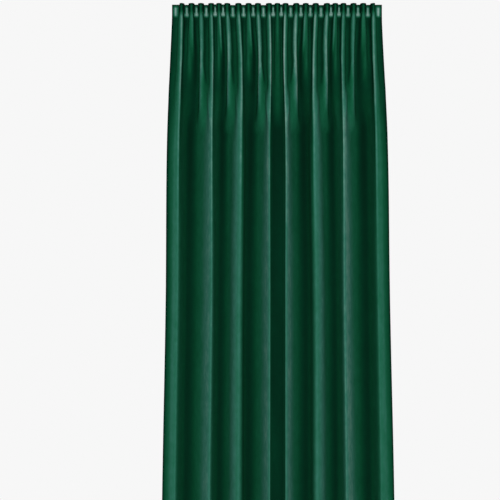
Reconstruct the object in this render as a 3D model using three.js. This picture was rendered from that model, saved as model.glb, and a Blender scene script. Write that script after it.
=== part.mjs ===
// A velvet curtain panel with a gathered heading, hanging in folds.
// Millimetres, +Z up. The origin is at the middle of the heading's top edge, the front faces -Y,
// and the cloth hangs from z = 0 down to z = -CLOTH_LENGTH.
import * as THREE from 'three';

// ---- Driving dimensions ----

const CLOTH_WIDTH = 1400; // finished width of the panel laid flat
const CLOTH_LENGTH = 2500; // from the heading's top edge to the hem
const CLOTH_THICKNESS = 2; // velvet with its pile
const HEM_EXTRA = 1; // how much the turned-in hems stand out at the back
const SIDE_HEM = 25; // width of each side hem
const BOTTOM_HEM = 100; // depth of the bottom hem
const HEM_RAMP = 2; // width of the step from single cloth to hem
const EDGE_CLOTH = 48; // cloth between a side edge and the crest of the end pleat

const TAPE_TOP = 8; // top of the heading tape, below the heading's top edge
const TAPE_HEIGHT = 25;
const TAPE_THICKNESS = 1;
const TAPE_INSET = 12; // the tape stops this far from the side edges
const SEWN_GAP = 0.6; // between the tape and the cloth that it is sewn to

const HEADING_HEIGHT = 34; // the pleats run straight down this far
const HEADING_DEPTH = 6.5; // mean forward depth of the whole cloth
const FLANK_IN_HEADING = 0.4; // share of a pleat gap that each flank takes in the heading
const FLANK_BELOW = 0.5; // the same below it, where the flat strips between the pleats are gone
const FLANK_OPEN_AT = 62; // drop at which the flat strips are gone

const STEEPEST = 1.72; // limit of the angle between the cloth and the wall plane, in radians
const VALLEYS_OPEN = [40, 220]; // drops over which a valley's steep wall grows back to its crest
const SIDES_MERGE = [130, 430]; // drops over which a valley's gentle wall takes in its side pleat
const FOLDS_GROW = [34, 450]; // drops over which the broad folds take over from the pleats
const PLEATS_LEAN = [90, 270]; // drops over which a melting pleat moves sideways
const STRAIGHT_UNTIL = 0.5; // share of a ridge that is left when its pleat no longer hangs straight
const FOLD_BEND = 1.9; // mean angle of a full-grown fold's walls, in radians, before the limit

// The pleats are of four kinds. A sharp or a round one leads into a broad fold with such a crest, a side
// pleat runs into the crest next to it, and a dip pleat is lost in the valley between two folds.
// Drop at which the ridge of each kind starts to melt away:
const RIDGE_HOLDS = { sharp: 200, round: 200, side: 320, dip: 45 };

// How a wall of a broad fold leaves a crest of each kind. skew: below 1, the wall is steepest just under
// the crest. plateau: below 1, it keeps that angle for longer.
const CREST_SHAPES = {
  sharp: { skew: 0.6, plateau: 0.6 },
  round: { skew: 0.8, plateau: 0.9 },
};

// The pleats from left to right: x in the heading, kind, the drop at which its own ridge is gone, and
// how far its middle has moved sideways by then.
const pleats = [
  { x: -318, kind: 'sharp', gone: 470, lean: 0 },
  { x: -284, kind: 'dip', gone: 380, lean: 0 },
  { x: -253, kind: 'side', gone: 430, lean: -5 },
  { x: -218.5, kind: 'sharp', gone: 470, lean: 0 },
  { x: -193, kind: 'dip', gone: 430, lean: 0 },
  { x: -166, kind: 'side', gone: 430, lean: -6 },
  { x: -128.5, kind: 'round', gone: 470, lean: 0 },
  { x: -94.5, kind: 'dip', gone: 380, lean: 0 },
  { x: -64, kind: 'side', gone: 430, lean: -4 },
  { x: -26.5, kind: 'sharp', gone: 470, lean: 0 },
  { x: 1, kind: 'dip', gone: 420, lean: 0 },
  { x: 27.5, kind: 'sharp', gone: 470, lean: 0 },
  { x: 64, kind: 'side', gone: 430, lean: 8 },
  { x: 95, kind: 'dip', gone: 380, lean: 0 },
  { x: 128, kind: 'round', gone: 470, lean: 0 },
  { x: 166, kind: 'side', gone: 430, lean: 8 },
  { x: 193, kind: 'dip', gone: 430, lean: 0 },
  { x: 220, kind: 'sharp', gone: 470, lean: 0 },
  { x: 254, kind: 'side', gone: 430, lean: 4 },
  { x: 286, kind: 'dip', gone: 380, lean: 0 },
  { x: 320, kind: 'sharp', gone: 470, lean: 0 },
];

// The valley between two crest pleats. It opens between two of the pleats and widens on the way down.
// trough: the share of the cloth, from the left crest, at which the full-grown valley is deepest.
// floor: the share that lies flat between its walls. steep: the side of its steep wall.
const valleys = [
  { left: 0, opens: [1, 2], right: 3, trough: 0.42, floor: 0, steep: 'left' },
  { left: 3, opens: [4, 5], right: 6, trough: 0.44, floor: 0, steep: 'left' },
  { left: 6, opens: [7, 8], right: 9, trough: 0.44, floor: 0, steep: 'left' },
  { left: 9, opens: [9, 11], right: 11, trough: 0.5, floor: 0.3, steep: 'both' },
  { left: 11, opens: [12, 13], right: 14, trough: 0.56, floor: 0, steep: 'right' },
  { left: 14, opens: [15, 16], right: 17, trough: 0.56, floor: 0, steep: 'right' },
  { left: 17, opens: [18, 19], right: 20, trough: 0.58, floor: 0, steep: 'right' },
];

// x of the side edges and of the eight crests, at several drops below the heading's top edge.
const hang = [
  { drop: HEADING_HEIGHT, left: -350, crests: [-318, -218.5, -128.5, -26.5, 27.5, 128, 220, 320], right: 350 },
  { drop: 190, left: -356, crests: [-320, -215, -120, -22.5, 24, 121.5, 216, 321], right: 356 },
  { drop: 475, left: -365, crests: [-325, -216, -121, -25, 28, 121, 218, 325], right: 366 },
  { drop: 985, left: -369, crests: [-329, -217, -127, -25, 28, 130, 221, 332], right: 373 },
  { drop: 1600, left: -380, crests: [-338, -224, -129, -26, 28, 132, 228, 342], right: 386 },
  { drop: 2500, left: -390, crests: [-346, -231, -132, -27, 29, 134, 235, 350], right: 397 },
];

// ---- Mesh resolution ----

const COLUMNS_PER_PLEAT = 8;
const STEPS_PER_COLUMN = 4; // the folds are worked out in finer steps than the mesh has columns
const FLANK_STEPS = 64; // the same, over one flank of a pleat
const STRONGEST_BEND = 6; // upper end of the search for a bend's strength, in radians
const MOST_TILT = 1.4; // either end of the search for a valley's tilt, in radians
const HALVINGS = 36; // of each search
const MOST_STRETCH = 1.3; // limit of the lengthening of a step across the cloth at a bend
const EDGE_COLUMNS = [0, TAPE_INSET, SIDE_HEM - HEM_RAMP / 2, SIDE_HEM + HEM_RAMP / 2, 34];
const HEM_TOP = CLOTH_LENGTH - BOTTOM_HEM;
const ROWS = [
  0, HEADING_HEIGHT, 46, 62, 88, 125, 175, 235, 305, 390, 490, 700, 1150, 1700,
  HEM_TOP - HEM_RAMP, HEM_TOP, CLOTH_LENGTH,
];

// ---- Helpers ----

const { clamp, inverseLerp, lerp, smoothstep } = THREE.MathUtils;
const hump = (t) => (t <= 0 || t >= 1 ? 0 : Math.sin(Math.PI * t));
const limited = (angle) => STEEPEST * Math.tanh(angle / STEEPEST);
const mean = (list, value) => list.reduce((sum, item) => sum + value(item), 0) / list.length;

// The argument from low to high at which a falling function is zero, by bisection.
function solve(falling, low, high) {
  let [from, to] = [low, high];
  for (let i = 0; i < HALVINGS; i += 1) {
    const middle = (from + to) / 2;
    if (falling(middle) > 0) from = middle;
    else to = middle;
  }
  return (from + to) / 2;
}

// The value at x of the line through these points, level beyond its ends.
function interpolate(x, points, values) {
  const i = clamp(points.findLastIndex((point) => point <= x), 0, points.length - 2);
  return lerp(values[i], values[i + 1], clamp(inverseLerp(points[i], points[i + 1], x), 0, 1));
}

// ---- Places along the cloth ----

const span = pleats.at(-1).x - pleats[0].x;
const clothPerX = (CLOTH_WIDTH - 2 * EDGE_CLOTH) / span;
const crestPleats = pleats.flatMap(({ kind }, i) => (kind in CREST_SHAPES ? [i] : []));
const pleatAt = pleats.map((pleat) => EDGE_CLOTH + (pleat.x - pleats[0].x) * clothPerX);

function clothColumns() {
  const inner = pleatAt.slice(0, -1).flatMap((start, i) => {
    const width = pleatAt[i + 1] - start;
    return Array.from({ length: COLUMNS_PER_PLEAT }, (_, k) => start + (width * k) / COLUMNS_PER_PLEAT);
  });
  const rightEdge = EDGE_COLUMNS.map((s) => CLOTH_WIDTH - s).reverse();
  return [...EDGE_COLUMNS, ...inner, pleatAt.at(-1), ...rightEdge];
}

const columns = clothColumns();

// Midpoints of the fine steps between two places on the cloth, with the cloth that each stands for.
function stepsBetween(start, end) {
  return columns.slice(0, -1).flatMap((s, i) => {
    if (s < start - 1e-6 || s > end - 1e-6) return [];
    const cloth = (columns[i + 1] - s) / STEPS_PER_COLUMN;
    return Array.from({ length: STEPS_PER_COLUMN }, (_, k) => ({ s: s + (k + 0.5) * cloth, cloth }));
  });
}

// ---- The folds: the angle of the cloth all along one height ----

const crestCurve = new THREE.CubicInterpolant(
  hang.map((row) => row.drop),
  hang.flatMap((row) => [row.left, ...row.crests, row.right]),
  hang[0].crests.length + 2,
);

// How the pleats stand at one drop: how much of each ridge is left, and how far the folds have merged.
function stageAt(drop) {
  const [left, ...rest] = crestCurve.evaluate(drop);
  return {
    left,
    right: rest.pop(),
    crests: rest,
    flank: lerp(FLANK_IN_HEADING, FLANK_BELOW, smoothstep(drop, HEADING_HEIGHT, FLANK_OPEN_AT)),
    kept: pleats.map(({ kind, gone }) => clamp(inverseLerp(gone, RIDGE_HOLDS[kind], drop), 0, 1)),
    opened: smoothstep(drop, ...VALLEYS_OPEN),
    merged: smoothstep(drop, ...SIDES_MERGE),
    grown: smoothstep(drop, ...FOLDS_GROW),
  };
}

// Angle given by the pleats' own ridges: each rises on its left flank and falls on its right one.
function ridgeAngle(s, stage, strength) {
  const i = Math.max(0, pleatAt.findLastIndex((start) => start <= s));
  const gap = pleatAt[i + 1] - pleatAt[i];
  const t = (s - pleatAt[i]) / gap;
  const fall = stage.kept[i] * hump(t / stage.flank);
  const rise = stage.kept[i + 1] * hump((t - 1 + stage.flank) / stage.flank);
  return strength * (rise - fall);
}

// Strength at which the unmerged ridges draw the cloth in to the width of the heading.
function ridgeStrength(flank) {
  const flankSteps = Array.from({ length: FLANK_STEPS }, (_, k) => (k + 0.5) / FLANK_STEPS);
  const drawnIn = (strength) => {
    const flankWidth = mean(flankSteps, (t) => Math.cos(limited(strength * hump(t))));
    return 1 - 2 * flank + 2 * flank * flankWidth;
  };
  return solve((strength) => drawnIn(strength) - 1 / clothPerX, 0, STRONGEST_BEND);
}

// One valley with the ridges in it. How strongly it bends, and how far it tilts as a whole, are found
// so that both crests are equally far forward and stand the stated width apart.
function valleyAngles(valley, stage, strength, width) {
  const [left, right] = [pleatAt[valley.left], pleatAt[valley.right]];
  const share = (i) => (pleatAt[i] - left) / (right - left);
  const [opensFrom, opensTo] = valley.opens.map(share);
  const [falls, rises] = {
    left: [stage.opened, stage.merged],
    right: [stage.merged, stage.opened],
    both: [stage.opened, stage.opened],
  }[valley.steep];
  const trough = lerp((opensFrom + opensTo) / 2, valley.trough, stage.merged);
  const fall = {
    crest: lerp(opensFrom, 0, falls),
    foot: trough - valley.floor / 2,
    ...CREST_SHAPES[pleats[valley.left].kind],
  };
  const rise = {
    crest: lerp(opensTo, 1, rises),
    foot: trough + valley.floor / 2,
    ...CREST_SHAPES[pleats[valley.right].kind],
  };
  const wallAngle = ({ crest, foot, skew, plateau }, t) => {
    const fromCrest = clamp(inverseLerp(crest, foot, t), 0, 1);
    return (FOLD_BEND * hump(fromCrest ** skew) ** plateau) / (2 * (crest - foot));
  };
  const steps = stepsBetween(left, right).map(({ s, cloth }) => {
    const t = (s - left) / (right - left);
    const walls = wallAngle(fall, t) + wallAngle(rise, t);
    return { cloth, bend: ridgeAngle(s, stage, strength) + stage.grown * walls, tilt: hump(t) };
  });
  const angle = (step, pull, tilt) => limited(pull * step.bend + tilt * step.tilt);
  const climb = (pull, tilt) => mean(steps, (step) => step.cloth * Math.sin(angle(step, pull, tilt)));
  const levelTilt = (pull) => solve((tilt) => -climb(pull, tilt), -MOST_TILT, MOST_TILT);
  const spanned = (pull) => {
    const tilt = levelTilt(pull);
    return steps.reduce((sum, step) => sum + step.cloth * Math.cos(angle(step, pull, tilt)), 0);
  };
  const pull = solve((tried) => spanned(tried) - width, 0, STRONGEST_BEND);
  const tilt = levelTilt(pull);
  return steps.map((step) => ({ cloth: step.cloth, angle: angle(step, pull, tilt) }));
}

// The free edge bends back from the end crest, as one flank of the end pleat and lower down as one
// broad curve. side is 1 for the left edge, where the cloth rises to the crest, and -1 for the right.
function edgeAngles(side, stage, width) {
  const start = side > 0 ? 0 : pleatAt.at(-1);
  const kept = side > 0 ? stage.kept[0] : stage.kept.at(-1);
  const flank = (stage.flank * (CLOTH_WIDTH - 2 * EDGE_CLOTH)) / (pleats.length - 1);
  const steps = stepsBetween(start, start + EDGE_CLOTH).map(({ s, cloth }) => {
    const fromEdge = side > 0 ? s : CLOTH_WIDTH - s;
    const ridge = hump((fromEdge - EDGE_CLOTH + flank) / flank);
    return { cloth, bend: lerp(hump(fromEdge / EDGE_CLOTH), ridge, kept) };
  });
  const spanned = (strength) =>
    steps.reduce((sum, step) => sum + step.cloth * Math.cos(limited(strength * step.bend)), 0);
  const strength = solve((tried) => spanned(tried) - width, 0, STRONGEST_BEND);
  return steps.map(({ cloth, bend }) => ({ cloth, angle: side * limited(strength * bend) }));
}

// Moves the columns sideways so that every pleat hangs straight for as long as its ridge lasts.
function straighten(line, drop, stage) {
  const lean = smoothstep(drop, ...PLEATS_LEAN);
  const moved = stage.crests.map((x, i) => x - pleats[crestPleats[i]].x);
  const shifts = pleats.map((pleat, i) => {
    const carried = interpolate(pleat.x, crestPleats.map((k) => pleats[k].x), moved);
    const held = clamp(stage.kept[i] / STRAIGHT_UNTIL, 0, 1);
    return held * (pleat.x + carried + lean * pleat.lean - line[columns.indexOf(pleatAt[i])].x);
  });
  line.forEach((point, i) => {
    point.x += interpolate(columns[i], pleatAt, shifts);
  });
}

// The whole width of the cloth at one drop: for each column its x and forward depth, the angle of the
// cloth there, and the factor by which a bend lengthens a step straight across the cloth.
function sectionAt(drop) {
  const stage = stageAt(drop);
  const strength = ridgeStrength(stage.flank);
  const { left, right, crests } = stage;
  const steps = [
    ...edgeAngles(1, stage, crests[0] - left),
    ...valleys.flatMap((valley, i) => valleyAngles(valley, stage, strength, crests[i + 1] - crests[i])),
    ...edgeAngles(-1, stage, right - crests.at(-1)),
  ];
  const line = [{ x: left, depth: 0 }];
  let [x, depth] = [left, 0];
  steps.forEach(({ cloth, angle }, i) => {
    x += cloth * Math.cos(angle);
    depth += cloth * Math.sin(angle);
    if ((i + 1) % STEPS_PER_COLUMN === 0) line.push({ x, depth });
  });
  straighten(line, drop, stage);
  const chords = line.slice(1).map((end, i) => Math.atan2(end.depth - line[i].depth, end.x - line[i].x));
  const middle = mean(line, (point) => point.depth);
  return line.map((point, i) => {
    const [before, after] = [chords[i - 1] ?? chords[i], chords[i] ?? chords[i - 1]];
    return {
      x: point.x,
      depth: point.depth - middle + HEADING_DEPTH,
      angle: (before + after) / 2,
      stretch: Math.min(1 / Math.cos((after - before) / 2), MOST_STRETCH),
    };
  });
}

// ---- Solids ----

// How far the back of the cloth lies behind its middle: the hems are turned in at the back.
function backOf(s, drop) {
  const fromSide = Math.min(s, CLOTH_WIDTH - s);
  const sideHem = 1 - clamp((fromSide - SIDE_HEM) / HEM_RAMP + 0.5, 0, 1);
  const bottomHem = drop > HEM_TOP - HEM_RAMP / 2 ? 1 : 0;
  return CLOTH_THICKNESS / 2 + HEM_EXTRA * Math.max(sideHem, bottomHem);
}

// Bends a flat slab onto the folds. front and back give how far each face lies from the cloth's
// middle, measured across the cloth, positive to the front.
function bentSlab(sList, drops, front, back) {
  const slab = new THREE.BoxGeometry(1, 1, 1, sList.length - 1, drops.length - 1, 1);
  const place = slab.getAttribute('position');
  const sections = drops.map((drop) => sectionAt(drop));
  for (let i = 0; i < place.count; i += 1) {
    const column = Math.round((place.getX(i) + 0.5) * (sList.length - 1));
    const row = Math.round((0.5 - place.getY(i)) * (drops.length - 1));
    const s = sList[column];
    const point = sections[row][columns.indexOf(s)];
    const offset = place.getZ(i) > 0 ? front(s, drops[row]) : back(s, drops[row]);
    const x = point.x - offset * point.stretch * Math.sin(point.angle);
    const depth = point.depth + offset * point.stretch * Math.cos(point.angle);
    place.setXYZ(i, x, -depth, -drops[row]);
  }
  slab.computeVertexNormals();
  return slab;
}

function velvetPanel() {
  const front = () => CLOTH_THICKNESS / 2;
  const back = (s, drop) => -backOf(s, drop);
  const velvet = new THREE.MeshStandardMaterial({ color: 0x0b4029, roughness: 0.95, metalness: 0 });
  const mesh = new THREE.Mesh(bentSlab(columns, ROWS, front, back), velvet);
  mesh.name = 'velvet_panel';
  return mesh;
}

function headingTape() {
  const width = columns.filter((s) => s >= TAPE_INSET && s <= CLOTH_WIDTH - TAPE_INSET);
  const front = (s) => -backOf(s, TAPE_TOP) - SEWN_GAP;
  const back = (s) => front(s) - TAPE_THICKNESS;
  const woven = new THREE.MeshStandardMaterial({ color: 0xe6e3da, roughness: 0.9, metalness: 0 });
  const mesh = new THREE.Mesh(bentSlab(width, [TAPE_TOP, TAPE_TOP + TAPE_HEIGHT], front, back), woven);
  mesh.name = 'heading_tape';
  return mesh;
}

const curtain = new THREE.Group();
curtain.add(velvetPanel(), headingTape());

export default curtain;
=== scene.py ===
"""Velvet curtain panel with a gathered heading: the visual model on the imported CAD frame.

The folds are the CAD source's, worked out again in finer steps. Lengths here are in millimetres and
turned into metres where a mesh is made. +Z is up, the front faces -Y, the heading's top edge is z = 0.
"""

import math

import bpy
import numpy as np
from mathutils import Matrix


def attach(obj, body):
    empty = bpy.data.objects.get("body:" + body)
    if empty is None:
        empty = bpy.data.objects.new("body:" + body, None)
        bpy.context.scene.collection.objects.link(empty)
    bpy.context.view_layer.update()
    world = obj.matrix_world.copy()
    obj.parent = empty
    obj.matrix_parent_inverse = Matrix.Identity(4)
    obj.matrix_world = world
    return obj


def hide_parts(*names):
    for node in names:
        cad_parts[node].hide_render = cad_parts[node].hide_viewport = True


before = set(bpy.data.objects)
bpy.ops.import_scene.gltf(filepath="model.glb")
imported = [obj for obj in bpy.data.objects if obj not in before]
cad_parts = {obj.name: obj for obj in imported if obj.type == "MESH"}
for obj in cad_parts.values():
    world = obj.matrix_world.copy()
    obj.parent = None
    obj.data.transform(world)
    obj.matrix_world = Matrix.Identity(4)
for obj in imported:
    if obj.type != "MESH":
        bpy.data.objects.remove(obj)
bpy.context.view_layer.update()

# ---- The curtain's own dimensions, the same as in the CAD source ----

# Angles are in radians. A pair of drops is where something starts and where it is complete.
CLOTH_WIDTH, CLOTH_LENGTH, CLOTH_THICKNESS = 1400, 2500, 2
HEM_EXTRA, SIDE_HEM, BOTTOM_HEM, HEM_RAMP = 1, 25, 100, 2
EDGE_CLOTH = 48
TAPE_TOP, TAPE_HEIGHT, TAPE_THICKNESS, TAPE_INSET, SEWN_GAP = 8, 25, 1, 12, 0.6
HEADING_HEIGHT, HEADING_DEPTH = 34, 6.5
FLANK_IN_HEADING, FLANK_BELOW, FLANK_OPEN_AT = 0.4, 0.5, 62
STEEPEST = 1.72
VALLEYS_OPEN, FOLDS_GROW, SIDES_MERGE = (40, 220), (34, 450), (130, 430)
FOLD_BEND = 1.9
STRAIGHT_UNTIL = 2
PLEATS_LEAN = (90, 270)
RIDGE_HOLDS = {"sharp": 200, "round": 200, "side": 320, "dip": 45}
CREST_SHAPES = {"sharp": (0.6, 0.6), "round": (0.8, 0.9)}

# The pleats from left to right: x in the heading, kind, drop at which the pleat's own ridge is gone,
# and how far its middle has moved sideways by then.
PLEATS = [
    (-318, "sharp", 470, 0), (-284, "dip", 380, 0), (-253, "side", 430, -5), (-218.5, "sharp", 470, 0),
    (-193, "dip", 430, 0), (-166, "side", 430, -6), (-128.5, "round", 470, 0), (-94.5, "dip", 380, 0),
    (-64, "side", 430, -4), (-26.5, "sharp", 470, 0), (1, "dip", 420, 0), (27.5, "sharp", 470, 0),
    (64, "side", 430, 8), (95, "dip", 380, 0), (128, "round", 470, 0), (166, "side", 430, 8),
    (193, "dip", 430, 0), (220, "sharp", 470, 0), (254, "side", 430, 4), (286, "dip", 380, 0),
    (320, "sharp", 470, 0),
]
PLEAT_X, PLEAT_GONE, PLEAT_LEAN = (np.array([row[i] for row in PLEATS], float) for i in (0, 2, 3))
PLEAT_KIND = [row[1] for row in PLEATS]
PLEAT_HOLDS = np.array([RIDGE_HOLDS[kind] for kind in PLEAT_KIND], float)

# The valleys: left pleat, pleats between which it opens, right pleat, trough, floor and steep side.
VALLEYS = [
    (0, (1, 2), 3, 0.42, 0, "left"),
    (3, (4, 5), 6, 0.44, 0, "left"),
    (6, (7, 8), 9, 0.44, 0, "left"),
    (9, (9, 11), 11, 0.5, 0.3, "both"),
    (11, (12, 13), 14, 0.56, 0, "right"),
    (14, (15, 16), 17, 0.56, 0, "right"),
    (17, (18, 19), 20, 0.58, 0, "right"),
]

# Drop, then x of the left edge, of the eight crests and of the right edge.
HANG = np.array([
    (HEADING_HEIGHT, -350, -318, -218.5, -128.5, -26.5, 27.5, 128, 220, 320, 350),
    (190, -356, -320, -215, -120, -22.5, 24, 121.5, 216, 321, 356),
    (475, -365, -325, -216, -121, -25, 28, 121, 218, 325, 366),
    (985, -369, -329, -217, -127, -25, 28, 130, 221, 332, 373),
    (1600, -380, -338, -224, -129, -26, 28, 132, 228, 342, 386),
    (2500, -390, -346, -231, -132, -27, 29, 134, 235, 350, 397),
], float)

# ---- The pile's painted light and shade ----

# YOUNG_FOLDS, OLD_FOLDS, PLEAT_SIDES, FACES_MIDDLE, PLEAT_LIGHT, CREST_LIGHT and the bare numbers in
# RIDGE_HIGHLIGHT weren't chosen by hand. Another program fitted them by least squares, so that the front view
# has the brightness of a photograph. They aren't properties of velvet, and another curtain, or this one
# hung otherwise, needs others.

# The share of the way from a valley's bottom to its crest. The painted light and shade there is given
# first for the walls that face out, then for those that face the curtain's middle. 0 is dark and 1 is pale.
FOLD_STOPS = [0, 0.15, 0.4, 0.65, 0.85, 0.95, 1]
YOUNG_FOLDS = (
    [0.03, 0.24, 0.31, 0.42, 0.54, 0.63, 0.49],
    [0.03, 0.16, 0.27, 0.26, 0.27, 0.05, 0.73],
)
OLD_FOLDS = (
    [0.08, 0.22, 0.36, 0.54, 0.56, 0.54, 0.37],
    [0.04, 0.16, 0.25, 0.3, 0.35, 0.41, 0.54],
)
FOLDS_AGE = (400, 900)
# How far the cloth stands out over the cloth around it, and the painted light and shade there among the
# pleats.
RELIEF_REACH = 24
RELIEF_STOPS = [-9, -4, 0, 4, 8, 13]
PLEAT_SIDES = (
    [0.26, 0.17, 0.29, 0.5, 0.33, 0.53],
    [0.1, 0.08, 0.08, 0.1, 0.15, 0.44],
)
PLEATS_END = (220, 430)
# The wall angles between which a wall turns from facing out to facing the middle. Walls that face the
# middle are painted darker.
FACES_MIDDLE = (-1.2, 0.69)
MIDDLE_BLEND = 15
# How far the cloth falls back from the outer crests until its painted shade is that of a valley's bottom.
EDGE_FALL, EDGE_FALL_CURVE = 28, 1.6
# The painted highlight along each ridge, which on real velvet is in part gloss: amount, place of its
# middle beside the ridge, inner and outer half width, and the drops at which it starts to fade and is gone.
RIDGE_HIGHLIGHT = {
    "sharp": (0.65, -2.2, 2.7, 3.2, *PLEATS_END),
    "round": (0.65, -2.2, 2.7, 3.2, *PLEATS_END),
    "side": (0.4, -0.5, 17.8, 2, 273, 368),
    "dip": (0.48, -2.5, 3.9, 2, 101, 187),
}
# The share of the painted highlight on each pleat, and of the painted light on each broad fold.
PLEAT_LIGHT = [
    0.95, 0.63, 0.77, 0.85, 1.38, 1.08, 0.88, 0.91, 1.12, 1.1, 0.3, 1.4, 1.51, 1.03, 1.05, 1.15, 1.12, 0.76,
    0.62, 0.34, 0.83,
]
CREST_LIGHT = [1.13, 1.32, 1.17, 1.33, 1.36, 1.19, 1.47, 1.04]
# The painted light on the flat strips of the heading: half width at the top and at the foot, the drops
# of that change, of their start and of their end, and how soft their sides are. Those of the two ends lie
# off the edge.
STRIP_HALF, STRIP_WIDENS, STRIP_STARTS, STRIP_ENDS = (3.2, 8), (18, 34), (5, 13), (34, 44)
STRIP_SIDES = (0.5, 1.3)
END_STRIP_AT, END_STRIP_HALF = 12, 5
# How light the strips are painted, and the painted light on the pleats' fronts in the heading, whose sides
# are painted dark. Then the drops over which the pleats' tops are painted dark, and over which the heading's
# painted light and shade gives way to that below.
STRIP_LIGHT, HEADING_PLEAT_LIGHT = 1.3, 0.32
PLEAT_TOPS_SHADE, BELOW_HEADING = (-6, 12), (20, 46)
# Painted shade on the cloth drawn in below the strips: drop, height and share.
SHADE_AT, SHADE_HEIGHT, SHADE = 55, 25, 0.5
# And painted shade at the cloth's free edges.
EDGE_SHADE, EDGE_BAND = 0.75, (2, 9)

# ---- Mesh resolution ----

COLUMNS_PER_PLEAT = 14
STEPS_PER_COLUMN = 3
CAD_COLUMNS_PER_PLEAT = 8
HALVINGS = 30
STRONGEST_BEND = 6
MOST_TILT = 1.4
MOST_STRETCH = 1.3
HEM_TOP = CLOTH_LENGTH - BOTTOM_HEM
ROWS = np.array(
    list(range(0, 60, 4))
    + list(range(60, 200, 7))
    + list(range(200, 520, 10))
    + list(range(520, 1000, 24))
    + list(range(1000, 2390, 44))
    + [HEM_TOP - HEM_RAMP, HEM_TOP, HEM_TOP + 12, HEM_TOP + 50]
    + [CLOTH_LENGTH - 12, CLOTH_LENGTH - 3, CLOTH_LENGTH],
    float,
)

# ---- The folds ----

clip = np.clip


def lerp(a, b, t):
    return a + (b - a) * t


def smoothstep(x, low, high):
    t = clip((x - low) / (high - low), 0, 1)
    return t * t * (3 - 2 * t)


def hump(t):
    return np.where((t > 0) & (t < 1), np.sin(np.pi * clip(t, 0, 1)), 0.0)


def limited(angle):
    return STEEPEST * np.tanh(angle / STEEPEST)


def solve(falling, low, high, count):
    """The argument at which each of count falling functions is zero, by bisection."""
    start, end = np.full((count, 1), float(low)), np.full((count, 1), float(high))
    for _ in range(HALVINGS):
        middle = (start + end) / 2
        above = falling(middle) > 0
        start, end = np.where(above, middle, start), np.where(above, end, middle)
    return (start + end) / 2


PLEAT_AT = EDGE_CLOTH + (PLEAT_X - PLEAT_X[0]) * (CLOTH_WIDTH - 2 * EDGE_CLOTH) / (PLEAT_X[-1] - PLEAT_X[0])
CLOTH_PER_X = (CLOTH_WIDTH - 2 * EDGE_CLOTH) / (PLEAT_X[-1] - PLEAT_X[0])


def columns_with(per_pleat, edge, crowding):
    """Places along the cloth's width, from the left edge: crowding draws them towards the pleats."""
    u = np.arange(per_pleat) / per_pleat
    t = u - crowding * np.sin(2 * np.pi * u) / (2 * np.pi)
    inner = [lerp(a, b, t) for a, b in zip(PLEAT_AT[:-1], PLEAT_AT[1:])]
    edge = np.array(edge, float)
    return np.concatenate([edge, *inner, PLEAT_AT[-1:], (CLOTH_WIDTH - edge)[::-1]])


COLUMNS = columns_with(
    COLUMNS_PER_PLEAT, [0, 3, 7, 12, 16, 20, 24, 26, 29, 32, 35, 38, 41, 43, 45, 46.5], 0.45
)
AT_PLEAT = [int(np.argmin(np.abs(COLUMNS - s))) for s in PLEAT_AT]
CRESTS = [i for i, kind in enumerate(PLEAT_KIND) if kind in CREST_SHAPES]
CAD_COLUMNS = columns_with(CAD_COLUMNS_PER_PLEAT, [0, TAPE_INSET, 24, 26, 34], 0)


def crests_at(drop):
    """x of the edges and crests at each drop, by the CAD source's cubic interpolation."""
    at, values = HANG[:, 0], HANG[:, 1:]
    out = []
    for v in clip(drop, at[0], at[-1]):
        i = int(clip(np.searchsorted(at, v, "right"), 1, len(at) - 1))
        t0, t1 = at[i - 1], at[i]
        first, last = (i, i - 1) if i == 1 else (i - 2, i + 1)
        before, t_before = (i, t1) if i < 2 else (i - 2, at[i - 2])
        after, t_after = (i - 1, t0) if i + 1 >= len(at) else (i + 1, at[i + 1])
        w0, w1 = (t1 - t0) / 2 / (t0 - t_before), (t1 - t0) / 2 / (t_after - t1)
        p = (v - t0) / (t1 - t0)
        out.append(
            (-w0 * p**3 + 2 * w0 * p**2 - w0 * p) * values[before]
            + ((1 + w0) * p**3 + (-1.5 - 2 * w0) * p**2 + (-0.5 + w0) * p + 1) * values[i - 1]
            + ((-1 - w1) * p**3 + (1.5 + w1) * p**2 + 0.5 * p) * values[i]
            + (w1 * p**3 - w1 * p**2) * values[after]
        )
    return np.array(out)


def ridge_strength(flank):
    """Strength at which the unmerged ridges draw the cloth in to the heading's width."""
    t = (np.arange(64) + 0.5)[None] / 64

    def drawn_in(strength):
        across = np.cos(limited(strength * hump(t))).mean(1, keepdims=True)
        return 1 - 2 * flank + 2 * flank * across

    return solve(lambda s: drawn_in(s) - 1 / CLOTH_PER_X, 0, STRONGEST_BEND, len(flank))


def steps_between(start, end):
    """Midpoints of the fine steps between two places on the cloth, and the cloth of each."""
    s = COLUMNS[(COLUMNS >= start - 1e-6) & (COLUMNS <= end + 1e-6)]
    cloth = np.repeat(np.diff(s) / STEPS_PER_COLUMN, STEPS_PER_COLUMN)
    return s[0] + np.cumsum(cloth) - cloth / 2, cloth


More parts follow.
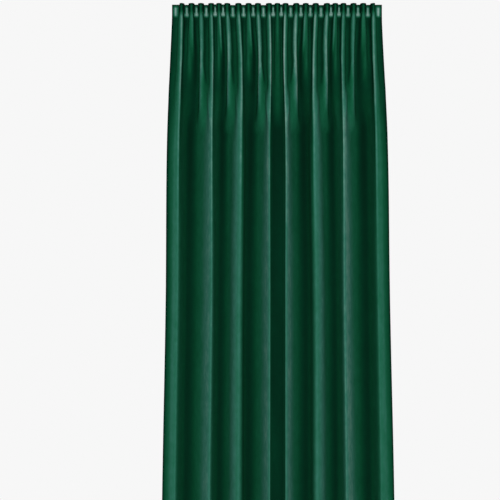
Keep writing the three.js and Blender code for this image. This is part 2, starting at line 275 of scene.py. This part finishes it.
def angles_at(drop):
    """The angle of the cloth on each fine step, for every drop, with the cloth of each step."""
    v = drop[:, None]
    count = len(drop)
    places = crests_at(drop)
    left, crests, right = places[:, :1], places[:, 1:-1], places[:, -1:]
    flank = lerp(FLANK_IN_HEADING, FLANK_BELOW, smoothstep(v, HEADING_HEIGHT, FLANK_OPEN_AT))
    kept = clip((v - PLEAT_GONE) / (PLEAT_HOLDS - PLEAT_GONE), 0, 1)
    opened, grown, merged = (smoothstep(v, *r) for r in (VALLEYS_OPEN, FOLDS_GROW, SIDES_MERGE))
    strength = ridge_strength(flank)
    pieces = []

    def edge(side, width):
        s, cloth = steps_between(0, EDGE_CLOTH) if side > 0 else steps_between(PLEAT_AT[-1], CLOTH_WIDTH)
        from_edge = s if side > 0 else CLOTH_WIDTH - s
        own = kept[:, :1] if side > 0 else kept[:, -1:]
        reach = flank * (CLOTH_WIDTH - 2 * EDGE_CLOTH) / (len(PLEATS) - 1)
        bend = lerp(hump(from_edge / EDGE_CLOTH)[None], hump((from_edge - EDGE_CLOTH + reach) / reach), own)
        pull = solve(
            lambda k: (cloth * np.cos(limited(k * bend))).sum(1, keepdims=True) - width,
            0, STRONGEST_BEND, count,
        )
        return side * limited(pull * bend), cloth

    def valley(first, opens, last, trough_at, floor, steep, width):
        a, b = PLEAT_AT[first], PLEAT_AT[last]
        s, cloth = steps_between(a, b)
        t = ((s - a) / (b - a))[None]
        opens_from, opens_to = ((PLEAT_AT[i] - a) / (b - a) for i in opens)
        falls, rises = {"left": (opened, merged), "right": (merged, opened), "both": (opened, opened)}[steep]
        trough = lerp((opens_from + opens_to) / 2, trough_at, merged)

        def wall(crest, foot, kind):
            skew, plateau = CREST_SHAPES[kind]
            from_crest = clip((t - crest) / (foot - crest), 0, 1)
            return FOLD_BEND * hump(from_crest**skew) ** plateau / (2 * (crest - foot))

        walls = wall(lerp(opens_from, 0, falls), trough - floor / 2, PLEAT_KIND[first])
        walls = walls + wall(lerp(opens_to, 1, rises), trough + floor / 2, PLEAT_KIND[last])
        i = clip(np.searchsorted(PLEAT_AT, s, "right") - 1, 0, len(PLEATS) - 2)
        in_gap = ((s - PLEAT_AT[i]) / (PLEAT_AT[i + 1] - PLEAT_AT[i]))[None]
        ridges = kept[:, i + 1] * hump((in_gap - 1 + flank) / flank) - kept[:, i] * hump(in_gap / flank)
        bend = strength * ridges + grown * walls

        def angle(pull, tilt):
            return limited(pull * bend + tilt * hump(t))

        def level(pull):
            return solve(
                lambda tilt: -(cloth * np.sin(angle(pull, tilt))).sum(1, keepdims=True),
                -MOST_TILT, MOST_TILT, count,
            )

        def spanned(pull):
            return (cloth * np.cos(angle(pull, level(pull)))).sum(1, keepdims=True)

        pull = solve(lambda k: spanned(k) - width, 0, STRONGEST_BEND, count)
        return angle(pull, level(pull)), cloth

    pieces.append(edge(1, crests[:, :1] - left))
    for i, row in enumerate(VALLEYS):
        pieces.append(valley(*row, crests[:, i + 1 : i + 2] - crests[:, i : i + 1]))
    pieces.append(edge(-1, right - crests[:, -1:]))
    angle, cloth = np.concatenate([a for a, _ in pieces], 1), np.concatenate([c for _, c in pieces])
    return left, crests, kept, angle, cloth


def straightening(drop, pleat_x, crests, kept):
    """How far each column moves sideways so that the pleats hang straight for as long as they last."""
    moved = [np.interp(PLEAT_X, PLEAT_X[CRESTS], row) for row in crests - PLEAT_X[CRESTS]]
    held = clip(STRAIGHT_UNTIL * kept, 0, 1)
    lean = PLEAT_LEAN * smoothstep(drop[:, None], *PLEATS_LEAN)
    shift = held * (PLEAT_X + np.array(moved) + lean - pleat_x)
    return np.array([np.interp(COLUMNS, PLEAT_AT, row) for row in shift])


def folded(drop):
    """x and forward depth of the cloth's middle, its angle and its stretch at bends: drops by columns."""
    left, crests, kept, angle, cloth = angles_at(drop)

    def summed(steps):
        at_columns = np.cumsum(steps, 1)[:, STEPS_PER_COLUMN - 1 :: STEPS_PER_COLUMN]
        return np.concatenate([np.zeros((len(drop), 1)), at_columns], 1)

    x = left + summed(cloth * np.cos(angle))
    depth = summed(cloth * np.sin(angle))
    x += straightening(drop, x[:, AT_PLEAT], crests, kept)
    middle = np.array([np.interp(CAD_COLUMNS, COLUMNS, row).mean() for row in depth])
    depth += HEADING_DEPTH - middle[:, None]
    chord = np.arctan2(np.diff(depth, axis=1), np.diff(x, axis=1))
    before, after = np.hstack([chord[:, :1], chord]), np.hstack([chord, chord[:, -1:]])
    stretch = np.minimum(1 / np.cos((after - before) / 2), MOST_STRETCH)
    return x, depth, (before + after) / 2, stretch


X, DEPTH, ANGLE, STRETCH = folded(ROWS)

# ---- What the sewing does to the folded cloth, its unevenness and its painted light and shade ----

DROP = np.repeat(ROWS[:, None], len(COLUMNS), 1)
ALONG = np.repeat(COLUMNS[None], len(ROWS), 0)
FROM_EDGE = np.minimum(ALONG, CLOTH_WIDTH - ALONG)
PUCKER_AT, PUCKER_HEIGHT, PUCKER_DEEP, PUCKER_SPAN = 41, 5, 2.2, 0.42
PLEAT_BULGE, BULGE_SPAN, BULGE_ENDS = 4.4, 0.75, (18, 42)
# Seed, wave length and height of the unevenness, and the drops over which it sets in.
UNEVEN, UNEVEN_FROM = [(3, 190, 0.9), (8, 60, 0.35)], (50, 200)

# Where each column lies between two pleats, -1 to 1, and 1 on the columns of the edges.
gap = clip(np.searchsorted(PLEAT_AT, COLUMNS, "right") - 1, 0, len(PLEATS) - 2)
across = (COLUMNS - PLEAT_AT[gap]) / (PLEAT_AT[gap + 1] - PLEAT_AT[gap])
IN_GAP = np.where((across < 0) | (across > 1), 1.0, 2 * across - 1)
# The flat strips of the heading: 1 in the middle of each strip, 0 on the pleats.
STRIP = clip(1 - np.abs(IN_GAP) / PUCKER_SPAN, 0, 1)[None]
DEPTH = DEPTH - PUCKER_DEEP * np.exp(-(((DROP - PUCKER_AT) / PUCKER_HEIGHT) ** 2)) * STRIP


def bulged(drop):
    """How far each column moves sideways: the heading's pleats are wider than their gripped feet."""
    bulge = np.sin(np.pi * clip((1 - np.abs(IN_GAP)) / BULGE_SPAN, 0, 1))
    return -PLEAT_BULGE * np.sign(IN_GAP) * bulge * (1 - smoothstep(drop[:, None], *BULGE_ENDS))


X = X + bulged(ROWS)


def ripple(x, z, seed, wave):
    """A soft, smooth unevenness of about -1 to 1 with waves of about that length."""
    rng = np.random.default_rng(seed)
    total = np.zeros_like(x)
    for _ in range(7):
        turn, phase = rng.uniform(0, 2 * np.pi, 2)
        k = 2 * np.pi / (wave * rng.uniform(0.7, 1.6))
        total += np.sin(k * (x * np.cos(turn) + 0.35 * z * np.sin(turn)) + phase)
    return total / 4


uneven = sum(height * ripple(ALONG, DROP, seed, wave) for seed, wave, height in UNEVEN)
DEPTH = DEPTH + smoothstep(DROP, *UNEVEN_FROM) * uneven

# How light the pile looks at each place, seen from the front: light on what stands forward, and dark in
# the valleys and on the walls that face the curtain's middle. This light and shade is painted into the
# colour and stays where it is. On real velvet part of it is gloss, which moves with the viewer.
FORWARD = np.ones_like(DEPTH)
for first, _, last, *_ in VALLEYS:
    span = slice(AT_PLEAT[first], AT_PLEAT[last] + 1)
    crest = lerp(DEPTH[:, [AT_PLEAT[first]]], DEPTH[:, [AT_PLEAT[last]]], 0.5)
    low = DEPTH[:, span].min(1, keepdims=True)
    FORWARD[:, span] = clip((DEPTH[:, span] - low) / (crest - low), 0, 1)
for end, span in ((0, slice(0, AT_PLEAT[0] + 1)), (-1, slice(AT_PLEAT[-1], None))):
    fallen = (DEPTH[:, [AT_PLEAT[end]]] - DEPTH[:, span]) / EDGE_FALL
    FORWARD[:, span] = clip(1 - fallen, 0, 1) ** EDGE_FALL_CURVE
around = np.exp(-0.5 * ((COLUMNS[:, None] - COLUMNS) / RELIEF_REACH) ** 2) * np.gradient(COLUMNS)
RELIEF = DEPTH - DEPTH @ (around / around.sum(1, keepdims=True)).T
OUTWARD = clip(X / MIDDLE_BLEND, -1, 1)
faces_middle = smoothstep(OUTWARD * ANGLE, *FACES_MIDDLE)


def painted_light_by(amount, stops, facing_out, facing_middle):
    """Painted light and shade by an amount, on the walls facing out and on those facing the middle."""
    return lerp(np.interp(amount, stops, facing_out), np.interp(amount, stops, facing_middle), faces_middle)


# The painted light and shade on the broad folds and among the pleats.
young_folds = painted_light_by(FORWARD, FOLD_STOPS, *YOUNG_FOLDS)
old_folds = painted_light_by(FORWARD, FOLD_STOPS, *OLD_FOLDS)
on_folds = lerp(young_folds, old_folds, smoothstep(DROP, *FOLDS_AGE))
on_folds = on_folds * np.interp(COLUMNS, PLEAT_AT[CRESTS], CREST_LIGHT)[None]
between_pleats = painted_light_by(RELIEF, RELIEF_STOPS, *PLEAT_SIDES)
below_pleats = smoothstep(DROP, *PLEATS_END)
PAINTED_LIGHT_AND_SHADE = lerp(between_pleats, on_folds, below_pleats)
# The painted highlight along each ridge.
for i, kind in enumerate(PLEAT_KIND):
    amount, middle, inner, outer, fades, gone = RIDGE_HIGHLIGHT[kind]
    shift = (ALONG - PLEAT_AT[i]) * np.sign(OUTWARD) - middle
    light = amount * np.exp(-((shift / np.where(shift > 0, outer, inner)) ** 2))
    own = np.abs(COLUMNS[:, None] - PLEAT_AT).argmin(1) == i
    PAINTED_LIGHT_AND_SHADE = PAINTED_LIGHT_AND_SHADE + own * light * (1 - smoothstep(DROP, fades, gone)) * PLEAT_LIGHT[i]
# In the heading the middles of the flat strips get painted light, and the sides of the pleats painted shade.
painted_strip_light = np.exp(-(((FROM_EDGE - END_STRIP_AT) / END_STRIP_HALF) ** 2)) * (FROM_EDGE < EDGE_CLOTH)
half_strip = lerp(*STRIP_HALF, smoothstep(DROP, *STRIP_WIDENS))
for left, right in zip(AT_PLEAT[:-1], AT_PLEAT[1:]):
    span = slice(left, right)
    aside = np.abs(X[:, span] - (X[:, [left]] + X[:, [right]]) / 2)
    painted_strip_light[:, span] = 1 - smoothstep(aside / half_strip[:, span], *STRIP_SIDES)
painted_strip_light = painted_strip_light * smoothstep(DROP, *STRIP_STARTS) * (1 - smoothstep(DROP, *STRIP_ENDS))
painted_pleat_light = (1 - np.abs(np.sin(ANGLE))) ** 2 * smoothstep(DROP, *PLEAT_TOPS_SHADE)
# Painted shade below the strips and at the free edges, and painted light and shade in the heading.
PAINTED_LIGHT_AND_SHADE = PAINTED_LIGHT_AND_SHADE * (1 - SHADE * STRIP * np.exp(-(((DROP - SHADE_AT) / SHADE_HEIGHT) ** 2)))
PAINTED_LIGHT_AND_SHADE = lerp(HEADING_PLEAT_LIGHT * painted_pleat_light, PAINTED_LIGHT_AND_SHADE, smoothstep(DROP, *BELOW_HEADING))
PAINTED_LIGHT_AND_SHADE = PAINTED_LIGHT_AND_SHADE * (1 - painted_strip_light) + STRIP_LIGHT * painted_strip_light
PAINTED_LIGHT_AND_SHADE = PAINTED_LIGHT_AND_SHADE * (1 - EDGE_SHADE * (1 - smoothstep(FROM_EDGE, *EDGE_BAND)))

# ---- Meshes ----


def surface(offset):
    """Points that far in front of the cloth's middle, in metres: drops by columns by 3."""
    x = X - offset * STRETCH * np.sin(ANGLE)
    y = -(DEPTH + offset * STRETCH * np.cos(ANGLE))
    return np.stack([x, y, -DROP], -1) / 1000


def place_of(along, drop):
    """Where each point lies on the flat cloth, in metres."""
    return np.stack([along, drop, np.zeros_like(drop)], -1) / 1000


def back_of(along, drop):
    """How far the back of the cloth lies behind its middle: the hems are turned in at the back."""
    from_side = np.minimum(along, CLOTH_WIDTH - along)
    side_hem = 1 - clip((from_side - SIDE_HEM) / HEM_RAMP + 0.5, 0, 1)
    bottom_hem = np.where(drop > HEM_TOP - HEM_RAMP / 2, 1.0, 0.0)
    return CLOTH_THICKNESS / 2 + HEM_EXTRA * np.maximum(side_hem, bottom_hem)


def attribute(mesh, name, values):
    layer = mesh.attributes.new(name, "FLOAT_VECTOR" if values.ndim == 2 else "FLOAT", "POINT")
    layer.data.foreach_set("vector" if values.ndim == 2 else "value", values.astype(np.float32).ravel())


def added(name, mesh):
    """The mesh as a smooth object of the scene that goes with the curtain's one body."""
    mesh.shade_smooth()
    made = bpy.data.objects.new(name, mesh)
    bpy.context.scene.collection.objects.link(made)
    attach(made, "root")
    return made


def slab(name, front, back, attributes, rim_out):
    """A closed sheet between two grids of points, with a rounded rim, and values on its vertices."""
    rows, cols = front.shape[:2]
    grid = np.arange(rows * cols).reshape(rows, cols)
    loop = np.concatenate([grid[0, :-1], grid[:-1, -1], grid[-1, :0:-1], grid[:0:-1, 0]])
    rim = (front.reshape(-1, 3)[loop] + back.reshape(-1, 3)[loop]) / 2
    ahead = np.roll(rim, -1, 0) - np.roll(rim, 1, 0)
    across = front.reshape(-1, 3)[loop] - back.reshape(-1, 3)[loop]
    out = np.cross(across, ahead)
    rim = rim - rim_out * out / np.linalg.norm(out, axis=1, keepdims=True)
    points = np.concatenate([front.reshape(-1, 3), back.reshape(-1, 3), rim])

    a, b, c, d = grid[:-1, :-1].ravel(), grid[1:, :-1].ravel(), grid[1:, 1:].ravel(), grid[:-1, 1:].ravel()
    n = rows * cols
    at_rim = 2 * n + np.arange(len(loop))
    nxt, at_next = np.roll(loop, -1), np.roll(at_rim, -1)
    faces = np.concatenate([
        np.stack([a, b, c, d], 1),
        np.stack([a, d, c, b], 1) + n,
        np.stack([loop, nxt, at_next, at_rim], 1),
        np.stack([at_rim, at_next, nxt + n, loop + n], 1),
    ])
    mesh = bpy.data.meshes.new(name)
    mesh.from_pydata(points.tolist(), [], faces.tolist())
    for key, (on_front, on_back) in attributes.items():
        flat = [v.reshape(rows * cols, -1) for v in (on_front, on_back)]
        values = np.concatenate([*flat, flat[0][loop]])
        attribute(mesh, key, values if values.shape[1] == 3 else values[:, 0])
    return added(name, mesh), len(faces)


THREAD_SIDES = 5
# Along each stitch: share of its length, share of the thread's radius, and how far it stands up.
STITCH_SHAPE = ((0, 0.35, 0.0), (0.2, 0.9, 0.6), (0.5, 1.0, 0.9), (0.8, 0.9, 0.6), (1, 0.35, 0.0))


def thread_mesh(name, stitches, radius):
    """One mesh of short stitches, each a flat-ended arc over the cloth: start, end and outward normal."""
    turns = np.arange(THREAD_SIDES) * 2 * math.pi / THREAD_SIDES
    ring = np.array([(math.cos(a), math.sin(a)) for a in turns])
    last_ring = THREAD_SIDES * (len(STITCH_SHAPE) - 1)
    points, faces = [], []
    for start, end, out in stitches:
        ahead = end - start
        length = np.linalg.norm(ahead)
        ahead = ahead / length
        side = np.cross(ahead, out)
        side = side / np.linalg.norm(side)
        up = np.cross(side, ahead)
        first = len(points)
        for t, wide, rise in STITCH_SHAPE:
            middle = start + ahead * (length * t) + up * (radius * rise)
            points += [middle + radius * wide * (side * c + up * s) for c, s in ring]
        for k in range(first, first + last_ring, THREAD_SIDES):
            for j in range(THREAD_SIDES):
                a, b = k + j, k + (j + 1) % THREAD_SIDES
                faces.append((a, a + THREAD_SIDES, b + THREAD_SIDES, b))
        faces.append(tuple(first + j for j in range(THREAD_SIDES)))
        faces.append(tuple(first + last_ring + j for j in reversed(range(THREAD_SIDES))))
    mesh = bpy.data.meshes.new(name)
    mesh.from_pydata([tuple(p) for p in points], [], faces)
    return added(name, mesh)


def on_cloth(points, along, drop):
    """Points of a grid of the cloth's surface at these places along its width and down its drop."""
    col = np.interp(along, COLUMNS, np.arange(len(COLUMNS)))
    row = np.interp(drop, ROWS, np.arange(len(ROWS)))
    c, r = np.minimum(col.astype(int), len(COLUMNS) - 2), np.minimum(row.astype(int), len(ROWS) - 2)
    u, w = (col - c)[:, None], (row - r)[:, None]
    top = points[r, c] * (1 - u) + points[r, c + 1] * u
    low = points[r + 1, c] * (1 - u) + points[r + 1, c + 1] * u
    return top * (1 - w) + low * w


def seam(points, outward, along, drop, lean, long):
    """Stitches from each place on the cloth, that long, leaning that way along the width and the drop."""
    along, drop = np.broadcast_arrays(np.asarray(along, float), np.asarray(drop, float))
    start = on_cloth(points, along, drop)
    end = on_cloth(points, along + lean[0] * long, drop + lean[1] * long)
    wide = on_cloth(points, along + 1, drop) - on_cloth(points, along - 1, drop)
    tall = on_cloth(points, along, drop - 2) - on_cloth(points, along, drop + 2)
    out = outward * np.cross(wide, tall)
    out = out / np.linalg.norm(out, axis=1, keepdims=True)
    return list(zip(start, end, out))


# ---- Materials ----


class Nodes:
    """Short calls for building one material's node tree."""

    def __init__(self, name, **values):
        self.material = bpy.data.materials.new(name)
        self.material.use_nodes = True
        self.tree = self.material.node_tree
        self.shader = self.tree.nodes["Principled BSDF"]
        for key, value in values.items():
            self.shader.inputs[key.replace("_", " ")].default_value = value

    def add(self, kind, settings=(), **inputs):
        node = self.tree.nodes.new(kind)
        for key, value in dict(settings).items():
            setattr(node, key, value)
        for key, value in inputs.items():
            self.put(node.inputs[int(key[2:]) if key.startswith("in") else key.replace("_", " ")], value)
        return node

    def put(self, socket, value):
        if isinstance(value, bpy.types.NodeSocket):
            self.tree.links.new(value, socket)
        else:
            socket.default_value = value

    def value_of(self, name):
        return self.add("ShaderNodeAttribute", {"attribute_name": name})

    def math(self, operation, a, b=0.0, clamp=False):
        settings = {"operation": operation, "use_clamp": clamp}
        return self.add("ShaderNodeMath", settings, in0=a, in1=b).outputs[0]

    def varied(self, value, amount):
        """A noise value turned into one about zero, of that size."""
        return self.math("MULTIPLY", self.math("SUBTRACT", value, 0.5), amount)

    def ramp(self, factor, stops):
        node = self.add("ShaderNodeValToRGB", {}, Fac=factor)
        points = node.color_ramp.elements
        while len(points) < len(stops):
            points.new(0.5)
        for point, (at, colour) in zip(points, stops):
            point.position, point.color = at, (*colour, 1)
        return node.outputs[0]

    def noise(self, place, scale, detail, rough=0.5):
        node = self.add("ShaderNodeTexNoise", {}, Vector=place, Scale=scale, Detail=detail, Roughness=rough)
        return node.outputs["Fac"]

    def bump(self, height, strength, distance, normal=None):
        node = self.add("ShaderNodeBump", {}, Height=height, Strength=strength, Distance=distance)
        if normal is not None:
            self.put(node.inputs["Normal"], normal)
        return node.outputs[0]


def stretched(nodes, place, along):
    """The place on the cloth with its drop scaled, so that a noise is drawn out down the cloth."""
    scale = (1.0, along, 1.0)
    return nodes.add("ShaderNodeVectorMath", {"operation": "MULTIPLY"}, in0=place, in1=scale).outputs[0]


# How much the soft and the brushed mottling and the grain of the pile change its light.
SOFT_MOTTLE, BRUSHED_MOTTLE, PILE_GRAIN = 0.42, 0.46, 0.10
# The pile's colour from the deepest painted shade to the brightest painted highlight.
VELVET_SHADE_TO_HIGHLIGHT = [
    (0.00, (0.0004, 0.0085, 0.0042)),
    (0.10, (0.0009, 0.0290, 0.0130)),
    (0.20, (0.0020, 0.0520, 0.0210)),
    (0.40, (0.0070, 0.0950, 0.0450)),
    (0.70, (0.0310, 0.1450, 0.1020)),
    (1.00, (0.1200, 0.2500, 0.2000)),
    (1.30, (0.2300, 0.3700, 0.3200)),
]


def velvet_material():
    n = Nodes("velvet_pile", Roughness=0.95, Specular_IOR_Level=0.03)
    place = n.value_of("cloth_place").outputs["Vector"]
    # The attribute holds the painted light and shade, which the ramp below turns into the base colour.
    lift = n.value_of("pile_lift").outputs["Fac"]
    soft = n.noise(stretched(n, place, 0.45), 26.0, 4.0, 0.55)
    brushed = n.noise(stretched(n, place, 0.4), 95.0, 3.0, 0.6)
    pile = n.noise(place, 1500.0, 2.0, 0.7)
    # The pile is brushed unevenly: mottled where it is painted light, even where it is painted dark.
    mottle = n.math("ADD", n.varied(soft, SOFT_MOTTLE), n.varied(brushed, BRUSHED_MOTTLE))
    grain = n.varied(pile, PILE_GRAIN)
    most = VELVET_SHADE_TO_HIGHLIGHT[-1][0]
    mottled_painted_shading = n.math("MULTIPLY", lift, n.math("ADD", 1.0, n.math("ADD", mottle, grain)))
    shown = n.math("DIVIDE", mottled_painted_shading, most, True)
    n.put(n.shader.inputs["Base Color"], n.ramp(shown, [(at / most, tone) for at, tone in VELVET_SHADE_TO_HIGHLIGHT]))
    low = n.bump(soft, 0.12, 0.002)
    n.put(n.shader.inputs["Normal"], n.bump(pile, 0.35, 0.0004, low))
    return n.material


def woven_material(name, tones, per_metre, roughness, ribs=0.0):
    """A plain weave of crossed yarns, so many to the metre, with raised ribs across it where asked."""
    n = Nodes(name, Roughness=roughness, Specular_IOR_Level=0.2, Sheen_Weight=0.08, Sheen_Roughness=0.5)
    place = n.value_of("cloth_place").outputs["Vector"]
    parts = n.add("ShaderNodeSeparateXYZ", {}, Vector=place)
    turn = 2 * math.pi * per_metre
    warp = n.math("SINE", n.math("MULTIPLY", parts.outputs[0], turn))
    weft = n.math("SINE", n.math("MULTIPLY", parts.outputs[1], turn))
    weave = n.math("ADD", n.math("MULTIPLY", n.math("MULTIPLY", warp, weft), 0.5), 0.5)
    worn = n.noise(stretched(n, place, 0.3), 30.0, 4.0, 0.55)
    slubs = n.noise(stretched(n, place, 0.04), 700.0, 2.0, 0.6)
    yarns = n.math("ADD", n.math("MULTIPLY", worn, 0.45), n.math("MULTIPLY", slubs, 0.2))
    tone = n.math("ADD", n.math("MULTIPLY", weave, 0.35), yarns)
    n.put(n.shader.inputs["Base Color"], n.ramp(tone, tones))
    height = weave
    if ribs:
        rib = n.math("SINE", n.math("MULTIPLY", parts.outputs[1], 2 * math.pi * ribs))
        height = n.math("ADD", weave, n.math("MULTIPLY", rib, 1.6))
    n.put(n.shader.inputs["Normal"], n.bump(height, 0.5, 0.00025, n.bump(worn, 0.15, 0.001)))
    return n.material


def thread_material(name, colour):
    n = Nodes(name, Roughness=0.6, Specular_IOR_Level=0.3, Sheen_Weight=0.1)
    coords = n.add("ShaderNodeTexCoord").outputs["Object"]
    twist = n.noise(coords, 2500.0, 1.0, 0.5)
    darker = tuple(0.55 * c for c in colour)
    n.put(n.shader.inputs["Base Color"], n.ramp(twist, [(0.3, darker), (0.7, colour)]))
    n.put(n.shader.inputs["Normal"], n.bump(twist, 0.4, 0.0002))
    return n.material


velvet = velvet_material()
ground = woven_material(
    "velvet_ground",
    [(0.2, (0.004, 0.030, 0.017)), (0.5, (0.008, 0.052, 0.030)), (0.85, (0.014, 0.075, 0.045))],
    1400, 0.95,
)
tape_weave = woven_material(
    "tape_weave",
    [(0.2, (0.55, 0.53, 0.47)), (0.5, (0.72, 0.70, 0.64)), (0.85, (0.83, 0.81, 0.76))],
    900, 0.9, ribs=240,
)
green_thread = thread_material("green_thread", (0.012, 0.075, 0.045))

# ---- The velvet panel ----

front = surface(CLOTH_THICKNESS / 2)
back = surface(-back_of(ALONG, DROP))
place = place_of(ALONG, DROP)
turned_in = (FROM_EDGE < SIDE_HEM) | (DROP > HEM_TOP - HEM_RAMP / 2)
# The turned-in hems show their pile at the back in one even tone, the mean of its painted light and shade.
# The rest there is woven ground.
HEM_LIGHT, BACK_SHIFT = 0.18, (0, 0, 0.5)
back_lift = HEM_LIGHT * np.ones_like(PAINTED_LIGHT_AND_SHADE)
panel, faces = slab(
    "velvet_curtain", front, back,
    {"cloth_place": (place, place + BACK_SHIFT), "pile_lift": (PAINTED_LIGHT_AND_SHADE, back_lift)}, rim_out=0.0004,
)
panel.data.materials.append(velvet)
panel.data.materials.append(ground)
cells = (len(ROWS) - 1) * (len(COLUMNS) - 1)
single = ~(turned_in[:-1, :-1] | turned_in[1:, 1:])
index = np.zeros(faces, np.int32)
index[cells : 2 * cells] = single.ravel()
panel.data.polygons.foreach_set("material_index", index)

# ---- The heading tape, sewn to the back of the heading ----

tape_rows = np.array([0, 0.6, 3, 6, 9, 12.5, 16, 19, 22, 24.4, 25.0]) + TAPE_TOP
tape_cols = np.flatnonzero((COLUMNS >= TAPE_INSET) & (COLUMNS <= CLOTH_WIDTH - TAPE_INSET))


def on_heading(offset):
    """A grid at the tape's rows, that far behind the cloth's middle at each column."""
    x, depth, angle, stretch = (a[:, tape_cols] for a in folded(tape_rows))
    x = x + bulged(tape_rows)[:, tape_cols] + offset * stretch * np.sin(angle)
    y = -(depth - offset * stretch * np.cos(angle))
    drop = np.repeat(tape_rows[:, None], len(tape_cols), 1)
    return np.stack([x, y, -drop], -1) / 1000


POCKET_ROWS, POCKET_DEEP = 3, 0.25
behind = back_of(COLUMNS[tape_cols], TAPE_TOP)[None] + SEWN_GAP
pockets = POCKET_DEEP * np.cos(2 * np.pi * (tape_rows - TAPE_TOP) / TAPE_HEIGHT * POCKET_ROWS)[:, None]
pockets = pockets - POCKET_DEEP
tape_place = place_of(*np.meshgrid(COLUMNS[tape_cols], tape_rows))
tape, _ = slab(
    "woven_heading_tape", on_heading(behind), on_heading(behind + TAPE_THICKNESS + pockets),
    {"cloth_place": (tape_place, tape_place)}, rim_out=0.0001,
)
tape.data.materials.append(tape_weave)

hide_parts("velvet_panel")
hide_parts("heading_tape")

# ---- Stitching ----

HEM_PITCH, HEM_STITCH, HEM_SEAM_IN = 9, 5, 1.2
HEADING_PITCH, HEADING_STITCH, TAPE_SEAM_IN = 4.4, 3.2, 2
down_sides = np.arange(30, HEM_TOP - 8, HEM_PITCH)
along_bottom = np.arange(SIDE_HEM + 4, CLOTH_WIDTH - SIDE_HEM - 4, HEM_PITCH)
hem_stitches = (
    seam(back, -1, SIDE_HEM + HEM_SEAM_IN, down_sides, (-0.5, 0.86), HEM_STITCH)
    + seam(back, -1, CLOTH_WIDTH - SIDE_HEM - HEM_SEAM_IN, down_sides, (0.5, 0.86), HEM_STITCH)
    + seam(back, -1, along_bottom, HEM_TOP - 1.6, (0.86, 0.5), HEM_STITCH)
)
hem_thread = thread_mesh("hem_stitching", hem_stitches, 0.00035)
hem_thread.data.materials.append(green_thread)

along_tape = np.arange(TAPE_INSET + 2, CLOTH_WIDTH - TAPE_INSET - 5, HEADING_PITCH)
heading_stitches = [
    stitch for drop in (TAPE_TOP + TAPE_SEAM_IN, TAPE_TOP + TAPE_HEIGHT - TAPE_SEAM_IN)
    for stitch in seam(front, 1, along_tape, drop, (1, 0), HEADING_STITCH)
]
heading_thread = thread_mesh("heading_stitching", heading_stitches, 0.0003)
heading_thread.data.materials.append(green_thread)

# ---- Floor, light and camera ----

FLOOR_RADIUS, FLOOR_SIDES, FLOOR_Z = 2.9, 96, -CLOTH_LENGTH / 1000 - 0.006
turns = np.arange(FLOOR_SIDES) * 2 * math.pi / FLOOR_SIDES
corners = [(FLOOR_RADIUS * math.cos(a), FLOOR_RADIUS * math.sin(a), FLOOR_Z) for a in turns]
floor_mesh = bpy.data.meshes.new("floor")
floor_mesh.from_pydata(corners, [], [tuple(range(FLOOR_SIDES))])
floor = bpy.data.objects.new("floor", floor_mesh)
bpy.context.scene.collection.objects.link(floor)
pale = Nodes("pale_floor", Roughness=0.8, Specular_IOR_Level=0.2)
cloudy = pale.noise(pale.add("ShaderNodeTexCoord").outputs["Object"], 1.5, 2.0)
pale_tones = [(0.3, (0.72, 0.72, 0.71)), (0.7, (0.76, 0.76, 0.75))]
pale.put(pale.shader.inputs["Base Color"], pale.ramp(cloudy, pale_tones))
floor_mesh.materials.append(pale.material)

world = bpy.data.worlds.new("studio")
bpy.context.scene.world = world
world.use_nodes = True
links, nodes = world.node_tree.links, world.node_tree.nodes
seen, fill = nodes["Background"], nodes.new("ShaderNodeBackground")
seen.inputs[0].default_value, seen.inputs[1].default_value = (0.93, 0.93, 0.93, 1), 1.0
fill.inputs[0].default_value, fill.inputs[1].default_value = (0.95, 0.97, 1.0, 1), 0.42
chosen = nodes.new("ShaderNodeMixShader")
links.new(nodes.new("ShaderNodeLightPath").outputs["Is Camera Ray"], chosen.inputs[0])
links.new(fill.outputs[0], chosen.inputs[1])
links.new(seen.outputs[0], chosen.inputs[2])
links.new(chosen.outputs[0], nodes["World Output"].inputs[0])


def soft_light(name, place, aim, size, power):
    """A rectangular lamp that faces the aim and isn't seen itself."""
    light = bpy.data.lights.new(name, "AREA")
    light.shape, light.size, light.size_y, light.energy = "RECTANGLE", size[0], size[1], power
    lamp = bpy.data.objects.new(name, light)
    lamp.location = place
    way = np.array(aim) - np.array(place)
    flat = math.hypot(way[0], way[1])
    lamp.rotation_euler = (math.atan2(flat, -way[2]), 0, math.atan2(-way[0], way[1]))
    bpy.context.scene.collection.objects.link(lamp)
    lamp.visible_camera = False


soft_light("front_light", (0, -3.4, -0.7), (0, 0, -1.0), (1.6, 3.0), 95)
soft_light("back_light", (0.8, 3.2, 0.2), (0, 0, -1.2), (2.2, 2.2), 60)

bpy.context.scene.view_settings.view_transform = "Standard"
camera = bpy.data.objects.new("camera", bpy.data.cameras.new("camera"))
bpy.context.scene.collection.objects.link(camera)
bpy.context.scene.camera = camera
camera.data.sensor_width, camera.data.lens = 36, 64.8
camera.location = (-0.09, -3.0, -0.818)
camera.rotation_euler = (math.pi / 2, 0, 0)
